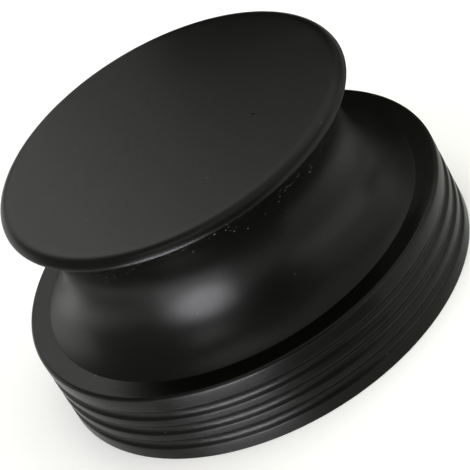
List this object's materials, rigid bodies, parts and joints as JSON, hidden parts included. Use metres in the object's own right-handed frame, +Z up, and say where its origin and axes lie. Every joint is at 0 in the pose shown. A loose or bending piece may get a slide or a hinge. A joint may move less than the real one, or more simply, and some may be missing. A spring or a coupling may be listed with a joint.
{
  "type": "record weight",
  "caption": "Turned black record weight: flat round head over a concave waist, flared foot on a wide grooved rim, blind spindle bore underneath.",
  "frame": {"origin": "middle of the flat underside, at the mouth of the spindle bore", "axes": "+Z up along the turning axis, towards the flat head; X and Y lie in the plane of the underside"},
  "size_m": [0.082, 0.082, 0.041],
  "materials": {
    "black_anodised": "bead-blasted and satin black anodised"
  },
  "bodies": {
    "root": {"weight_body": "black_anodised"}
  },
  "joints": []
}
